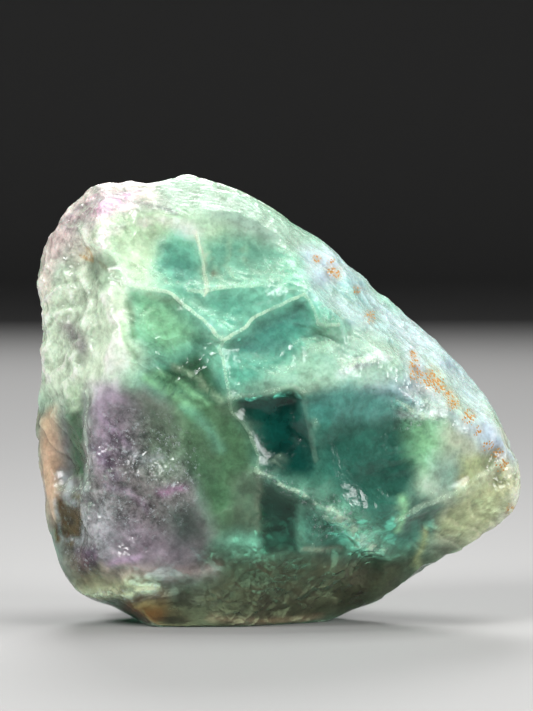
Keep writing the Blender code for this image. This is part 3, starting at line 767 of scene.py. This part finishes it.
def scooped(points):
    """Shallow scoops that meet in sharp edges and each lean their own way, as heights in millimetres."""
    noise.seed_set(LEAN_SEED)
    heights = np.zeros(len(points))
    bent = points + 0.9 * np.stack([waves(points + 30.0 * k, 4.0) for k in range(3)], axis=1)
    for middle, radius, width, depth in SCOOPED:
        share = patch(points, middle, radius)
        chosen = np.flatnonzero(share > 0.0)
        scoop = np.empty(len(chosen))
        for k, place in enumerate((bent[chosen] / width).tolist()):
            far, seeds = noise.voronoi(place)
            lean = noise.noise_vector(seeds[0] * 5.3)
            scoop[k] = far[0] ** 2 - 0.35 + 0.6 * lean.dot(Vector(place) - seeds[0])
        heights[chosen] += depth * share[chosen] * scoop
    return heights


def stepped(points):
    """Broken steps, as heights in millimetres: each climbs gently and falls off steeply."""
    heights = np.zeros(len(points))
    wander = 0.9 * waves(points, 9.0) + 0.35 * waves(points, 3.0)
    for middle, radius, climb, width, height in STEPPED:
        share = patch(points, middle, radius)
        climbed = (points @ unit(climb)) / width + wander
        climbed -= np.floor(climbed)
        heights += share * height * (np.minimum(climbed / 0.88, (1.0 - climbed) / 0.12) - 0.5)
    return heights


def wandered(points):
    """Each point's (x, z) place, moved a little, so that straight lines on the broad face waver."""
    wide = np.stack([waves(points, 3.0), waves(points + 50.0, 3.0)], axis=1)
    narrow = np.stack([waves(points, 0.9), waves(points + 50.0, 0.9)], axis=1)
    return points[:, [0, 2]] + 0.40 * wide + 0.12 * narrow


def carve(skin):
    """Gives the softened form its fine relief."""
    random = np.random.default_rng(CHIP_SEED)
    for middle, radius in CALM:
        skin.calm(middle, radius, CALMING_ROUNDS)
    skin.lift(sum(height * waves(skin.points, length) for height, length in UNEVENNESS))
    chip(skin, random)
    normals = skin.normals()
    points = skin.points
    front = smooth(-normals[:, 1] / 0.5)
    places = wandered(points)
    height = np.zeros(len(places))
    for line, crest, half_width, _ in CRESTS.values():
        distance = line_distance(places, on_face(line))
        edge = 0.8 * np.exp(-distance / half_width) + 0.6 * np.exp(-distance / CUSP_WIDTH)
        height += crest * edge * front * (0.9 + 0.3 * waves(points, 1.6))
    fibres = waves(points @ FIBRE_AXES.T, FIBRE_WAVES)
    height += crown_share(points, normals) * FIBRE_HEIGHT * (1.0 - 2.0 * np.abs(fibres))
    height += rippled(points, normals) + stepped(points) + scooped(points)
    skin.lift(height)


def crown_share(points, normals):
    """How much each point belongs to the bright, fibrous top and upper right of the stone."""
    return smooth((normals[:, 2] - 0.25) / 0.4) * smooth((points[:, 2] - 12.0) / 6.0)


def zone_tints(points):
    """The growth zones' colour and clearness at each point."""
    warped = points + 4.0 * np.stack([waves(points + 40.0 * k, 11.0) for k in range(3)], axis=1)
    tint = np.zeros((len(points), 3))
    clear = np.zeros(len(points))
    for middle, halves, colour, strength, clearness in ZONES:
        away = np.linalg.norm((warped - np.asarray(middle)) / halves, axis=1)
        share = strength * smooth(1.6 * (1.0 - away) + 0.3)
        tint += (linear(PALETTE[colour]) - tint) * share[:, None]
        clear += (clearness - clear) * share
    return tint, clear


def cell_tints(points, normals, tint, clear):
    """Lays the broad face's cells over the zones, and fainter and softer on the far side."""
    front = smooth((-normals[:, 1] - 0.05) / 0.35) * smooth(-points[:, 1] / 4.0)
    wander = np.stack([waves(points, 2.4), waves(points + 50.0, 2.4)], axis=1)
    drift = np.stack([waves(points + 20.0, 9.0), waves(points + 70.0, 9.0)], axis=1)
    places = points[:, [0, 2]] + 0.5 * wander + 4.0 * drift * (1.0 - front)[:, None]
    strong = FAR_STRENGTH + (1.0 - FAR_STRENGTH) * front
    for outline, colour, strength, soft, clearness in CELLS.values():
        line = on_face(outline)
        near = outline_share(places, line, soft)
        far = outline_share(places, line, soft + 0.8)
        share = strength * strong * (far + (near - far) * front)
        tint += (linear(PALETTE[colour]) - tint) * share[:, None]
        clear += (clearness - clear) * share
    for line, colour, half_width, strength in STROKES:
        share = strength * front * np.exp(-((line_distance(places, on_face(line)) / half_width) ** 2))
        tint += (linear(PALETTE[colour]) - tint) * share[:, None]


def paint(skin):
    """Gives each point of the skin its colour and the shares that the material reads."""
    points = skin.points
    normals = skin.normals()
    tint, clear = zone_tints(points)
    cell_tints(points, normals, tint, clear)
    front = smooth(-normals[:, 1] / 0.4)
    frost = 0.42 * crown_share(points, normals)
    places = wandered(points)
    grit = np.zeros(len(points))
    for middle, radius, liveliness in SPARKLED:
        grit = np.maximum(grit, liveliness * patch(points, middle, radius))
    away = np.full(len(points), EDGE_REACH)
    frost_and_highlight_white = np.zeros(len(points))
    crumbs = np.clip(0.5 + 2.0 * waves(points, 0.9), 0.0, 1.0)
    # White along the crests: frost on most, painted highlight on the streak and the sparkle.
    for name, (line, _, half_width, white) in CRESTS.items():
        distance = line_distance(places, on_face(line))
        if name in CRUMBLED:
            grit = np.maximum(grit, front * np.exp(-((distance / CRUMB_WIDTH) ** 2)))
        nearer = distance / half_width < away
        away[nearer] = distance[nearer] / half_width
        frost_and_highlight_white[nearer] = white * (crumbs[nearer] if name in CRUMBLED else 1.0)
        glow = GLOW_STRENGTH * white * front * np.exp(-((distance / GLOW_WIDTH) ** 2))
        tint += (linear(PALETTE["pale mint"]) - tint) * glow[:, None]
    edge = 1.0 - away / EDGE_REACH
    frost_and_highlight_white *= front * (0.8 + 0.5 * waves(points, 1.6))
    crests = skin.around(skin.around(skin.crests(FROSTED_ROUNDS)))
    frost = np.maximum(frost, smooth((crests - 0.09) / 0.14) * 0.6)
    # Painted shade and light: besides its random mottling, the tint is darkened in the hollows and lightened
    # on the crests.
    mottle = 1.0 + 0.12 * waves(points, 3.2) + 0.10 * waves(points, 1.2) + np.clip(crests / 0.3, -0.25, 0.25)
    tint *= mottle[:, None]
    broken = 0.7 * crown_share(points, normals)
    for middle, radius, _, _ in SCOOPED:
        broken = np.maximum(broken, 0.8 * patch(points, middle, radius))
    broken *= smooth(0.6 + 1.2 * waves(points, 5.0))
    rust = np.zeros(len(points))
    for place, radius in RUST:
        away = np.hypot(*(points[:, [0, 2]] - on_face([place])[0]).T) / (radius * PIXEL * STAIN_REACH)
        rust = np.maximum(rust, smooth(1.4 - away) * (points[:, 1] < 2.0))
    mesh = skin.mesh
    colours = np.concatenate((np.clip(tint, 0.0, 0.95), np.ones((len(points), 1))), axis=1)
    mesh.attributes.new("tint", "FLOAT_COLOR", "POINT").data.foreach_set("color", colours.ravel())
    fields = {
        "clear": clear, "frost": frost, "edge": edge, "frost_and_highlight_white": frost_and_highlight_white, "grit": grit, "broken": broken,
        "rust": rust,
    }
    for name, values in fields.items():
        values = np.clip(values, 0.0, 1.0)
        mesh.attributes.new(name, "FLOAT", "POINT").data.foreach_set("value", values)


class Nodes:
    """Short ways to add the nodes of one material."""

    def __init__(self, name):
        self.material = bpy.data.materials.new(name)
        self.material.use_nodes = True
        self.tree = self.material.node_tree
        self.shader = self.tree.nodes["Principled BSDF"]
        self.output = self.tree.nodes["Material Output"]
        self.place = None

    def add(self, kind, inputs=None, **settings):
        """A node with these settings; a number sets an input and a socket is linked to it."""
        node = self.tree.nodes.new(kind)
        for name, value in settings.items():
            setattr(node, name, value)
        for name, value in (inputs or {}).items():
            self.put(node.inputs[name], value)
        return node

    def put(self, socket, value):
        """Sets or links one input."""
        if isinstance(value, bpy.types.NodeSocket):
            self.tree.links.new(value, socket)
        else:
            socket.default_value = value

    def attribute(self, name, output="Fac"):
        """The values that the mesh carries under a name."""
        return self.add("ShaderNodeAttribute", attribute_name=name).outputs[output]

    def compute(self, kind, *values):
        """One step of arithmetic."""
        return self.add("ShaderNodeMath", dict(enumerate(values)), operation=kind).outputs[0]

    def plus(self, first, second):
        """Two values added."""
        return self.compute("ADD", first, second)

    def minus(self, first, second):
        """The second value taken from the first."""
        return self.compute("SUBTRACT", first, second)

    def times(self, first, second):
        """Two values multiplied."""
        return self.compute("MULTIPLY", first, second)

    def least(self, first, second):
        """The smaller of two values."""
        return self.compute("MINIMUM", first, second)

    def most(self, first, second):
        """The larger of two values."""
        return self.compute("MAXIMUM", first, second)

    def ramp(self, value, low, high, start=0.0, end=1.0):
        """The value carried from low and high to start and end, and held there."""
        inputs = {"Value": value, "From Min": low, "From Max": high, "To Min": start, "To Max": end}
        return self.add("ShaderNodeMapRange", inputs, interpolation_type="SMOOTHSTEP").outputs[0]

    def mix(self, share, first, second):
        """Two colours mixed."""
        node = self.add("ShaderNodeMix", data_type="RGBA")
        self.put(node.inputs[0], share)
        self.put(node.inputs[6], first)
        self.put(node.inputs[7], second)
        return node.outputs[2]

    def noise(self, name):
        """One of the stone's noises, from 0 to 1."""
        scale, detail, roughness = NOISES[name]
        inputs = {"Vector": self.place, "Scale": scale, "Detail": detail, "Roughness": roughness}
        return self.add("ShaderNodeTexNoise", inputs).outputs["Fac"]

    def cells(self, place, scale):
        """How far a place is from the middle of its cell."""
        return self.add("ShaderNodeTexVoronoi", {"Vector": place, "Scale": scale}).outputs["Distance"]

    def scratches(self, turn):
        """Noise drawn out along a direction of the broad face, turned so many degrees from X."""
        rotation = (0.0, math.radians(turn), 0.0)
        inputs = {"Vector": self.place, "Rotation": rotation, "Scale": SCRATCH_SIZE}
        drawn = self.add("ShaderNodeMapping", inputs, vector_type="TEXTURE").outputs[0]
        return self.add("ShaderNodeTexNoise", {"Vector": drawn, "Scale": 1.0, "Detail": 2.0}).outputs["Fac"]


def rgba(name):
    """A palette colour for a shader's socket."""
    return (*linear(PALETTE[name]), 1.0)


def facets(n):
    """Small broken facets with bent edges, as heights."""
    scale, detail, bend = FACET_BEND
    inputs = {"Vector": n.place, "Scale": scale, "Detail": detail}
    drift = n.add("ShaderNodeTexNoise", inputs).outputs["Color"]
    inputs = {0: drift, 1: (bend, bend, bend), 2: n.place}
    bent = n.add("ShaderNodeVectorMath", inputs, operation="MULTIPLY_ADD").outputs[0]
    distance = n.cells(bent, FACET_CELLS)
    return n.times(distance, distance)


def shading(n, grit):
    """How light each place is beside its colour: mottled, hatched and veined, and livelier where gritty."""
    threads = n.compute("ABSOLUTE", n.minus(n.noise("thread"), 0.5))
    hatch = n.ramp(n.most(*map(n.scratches, HATCH_TURNS)), 0.56, 0.76)
    lively = n.ramp(n.noise("lively"), 0.36, 0.64, -0.42, 0.62)
    shade = n.ramp(n.noise("mottle"), 0.30, 0.70, 0.78, 1.24)
    shade = n.plus(shade, n.times(hatch, 0.08))
    shade = n.plus(shade, n.times(n.minus(1.0, n.ramp(threads, 0.0, 0.03)), 0.12))
    shade = n.plus(shade, n.ramp(n.noise("speckle"), 0.35, 0.65, -0.12, 0.12))
    return n.plus(shade, n.times(lively, grit))


def worn_and_highlight_share(n, coarse, fine, frost):
    """How white and dull each place is: frosted patches, and the frayed lines along the crests, which are
    painted highlight on the streak and the sparkle.
    """
    frayed = n.plus(n.attribute("edge"), n.times(n.minus(coarse, 0.5), 0.12))
    line = n.times(n.ramp(frayed, 0.77, 0.92), n.attribute("frost_and_highlight_white"))
    return n.times(n.most(frost, line), n.ramp(fine, 0.30, 0.62, 0.7, 1.0))


def fluorite_material():
    """See-through fluorite: coloured by place, frosted on its crests with painted highlight on two, flecked
    with frost and painted glints, grained and specked with iron.
    """
    n = Nodes("fluorite")
    n.place = n.add("ShaderNodeTexCoord").outputs["Object"]
    tint = n.attribute("tint", "Color")
    clear, frost, grit, broken, rust = map(n.attribute, ("clear", "frost", "grit", "broken", "rust"))
    coarse = n.noise("coarse")
    fine = n.noise("fine")
    worn_and_highlight = worn_and_highlight_share(n, coarse, fine, frost)
    # Silver flecks in the gritty patches: partly frost, partly painted glints.
    frost_and_glint_fleck = n.times(n.ramp(n.noise("frost_and_glint_fleck"), 0.56, 0.62), n.times(grit, 0.8))
    cloudy = n.add("ShaderNodeVectorMath", {0: tint, 1: shading(n, grit)}, operation="MULTIPLY").outputs[0]
    colour = n.mix(n.least(worn_and_highlight, 0.85), n.mix(frost_and_glint_fleck, cloudy, rgba("silver")), rgba("frost"))
    speck = n.ramp(n.minus(n.times(rust, 0.56), n.cells(n.place, RUST_CELLS)), 0.02, 0.14)
    stain = n.times(rust, n.ramp(coarse, 0.4, 0.6, 0.1, 0.45))
    n.put(n.shader.inputs["Base Color"], n.mix(n.most(speck, stain), colour, rgba("rust")))
    rough = n.plus(n.ramp(fine, 0.35, 0.70, 0.08, 0.24), n.times(worn_and_highlight, 0.25))
    n.put(n.shader.inputs["Roughness"], rough)
    seen = n.times(n.least(n.times(clear, CLEARING), CLEAREST), n.minus(1.0, n.least(worn_and_highlight, 0.9)))
    n.put(n.shader.inputs["Transmission Weight"], n.times(seen, n.minus(1.0, speck)))
    n.shader.inputs["IOR"].default_value = IOR
    n.shader.inputs["Subsurface Weight"].default_value = SCATTERED
    n.shader.inputs["Subsurface Radius"].default_value = SCATTER_RADIUS
    n.shader.inputs["Subsurface Scale"].default_value = SCATTER_SCALE
    forms = {
        "glitter": n.times(n.cells(n.place, GLITTER_CELLS), grit),
        "facets": n.times(facets(n), broken),
        "fibres": n.times(n.scratches(FIBRE_TURN), broken),
        "coarse": coarse,
    }
    height = n.times(fine, BUMPS["fine"])
    for name, form in forms.items():
        height = n.plus(height, n.times(form, BUMPS[name]))
    bump = n.add("ShaderNodeBump", {"Height": height, "Strength": BUMP_STRENGTH, "Distance": BUMP_HEIGHT})
    n.put(n.shader.inputs["Normal"], bump.outputs[0])
    absorb = n.add("ShaderNodeVolumeAbsorption")
    absorb.inputs["Color"].default_value = ABSORPTION_COLOUR
    absorb.inputs["Density"].default_value = ABSORPTION_DENSITY
    n.tree.links.new(absorb.outputs[0], n.output.inputs["Volume"])
    return n.material


def fluorite():
    """The stone's fine skin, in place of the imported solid."""
    form = packed_form()
    skin = Skin(form)
    skin.soften(SOFTENING_ROUNDS)
    carve(skin)
    skin.write()
    mesh = evaluated(
        form, "DECIMATE", ratio=SKIN_TRIANGLES / (2 * len(form.polygons)), use_collapse_triangulate=True
    )
    mesh.shade_smooth()
    paint(Skin(mesh))
    mesh.materials.clear()
    mesh.materials.append(fluorite_material())
    stone = bpy.data.objects.new("fluorite_stone", mesh)
    bpy.context.scene.collection.objects.link(stone)
    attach(stone, "root")
    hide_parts("fluorite")


def camera():
    """The camera, square to the stone's broad face and a little above it."""
    camera = bpy.data.objects.new("camera", bpy.data.cameras.new("camera"))
    bpy.context.scene.collection.objects.link(camera)
    bpy.context.scene.camera = camera
    camera.data.lens = CAMERA_LENS
    camera.data.sensor_fit = "AUTO"
    camera.data.clip_start = NEAREST_SEEN
    rise = math.radians(CAMERA_RISE)
    back = Vector((0.0, -math.cos(rise), math.sin(rise)))
    camera.location = AIM + back * CAMERA_DISTANCE
    camera.rotation_euler = (-back).to_track_quat("-Z", "Y").to_euler()


def area_light(name, place, size, power):
    """A soft square light that looks at the stone."""
    lamp = bpy.data.objects.new(name, bpy.data.lights.new(name, "AREA"))
    bpy.context.scene.collection.objects.link(lamp)
    lamp.data.shape = "SQUARE"
    lamp.data.size = size
    lamp.data.energy = power
    lamp.location = place
    lamp.rotation_euler = (LIT_PLACE - Vector(place)).to_track_quat("-Z", "Y").to_euler()


def floor_mesh():
    """A round floor that is flat near the stone and sweeps up far off."""
    form = bmesh.new()
    rings = [(FLOOR_RADIUS, 0.0)]
    for k in range(1, SWEEP_STEPS + 1):
        turn = math.radians(90.0 / SWEEP_STEPS * k)
        rings.append((FLOOR_RADIUS + SWEEP_RADIUS * math.sin(turn), SWEEP_RADIUS * (1.0 - math.cos(turn))))
    rings.append((FLOOR_RADIUS + SWEEP_RADIUS, 3.0 * SWEEP_RADIUS))
    points = [form.verts.new((0.0, 0.0, 0.0))]
    points += [form.verts.new((radius, 0.0, height)) for radius, height in rings]
    edges = [form.edges.new(pair) for pair in zip(points, points[1:])]
    bmesh.ops.spin(
        form, geom=points + edges, cent=(0, 0, 0), axis=(0, 0, 1), angle=math.tau, steps=FLOOR_TURNS,
        use_merge=True,
    )
    bmesh.ops.remove_doubles(form, verts=form.verts, dist=1e-5)
    bmesh.ops.recalc_face_normals(form, faces=form.faces)
    floor = bpy.data.meshes.new("floor")
    form.to_mesh(floor)
    form.free()
    floor.shade_smooth()
    return floor


def studio():
    """Pale floor, dim surroundings, and soft lights above, behind and in front."""
    floor = floor_mesh()
    n = Nodes("floor")
    n.shader.inputs["Base Color"].default_value = FLOOR_COLOUR
    n.shader.inputs["Roughness"].default_value = FLOOR_ROUGHNESS
    floor.materials.append(n.material)
    ground = bpy.data.objects.new("floor", floor)
    bpy.context.scene.collection.objects.link(ground)
    world = bpy.data.worlds.new("surroundings")
    world.use_nodes = True
    world.node_tree.nodes["Background"].inputs[0].default_value = SURROUNDINGS
    bpy.context.scene.world = world
    for name, (place, size, power) in LIGHTS.items():
        area_light(name, place, size, power)


fluorite()
camera()
studio()
bpy.context.scene.view_settings.view_transform = "Standard"
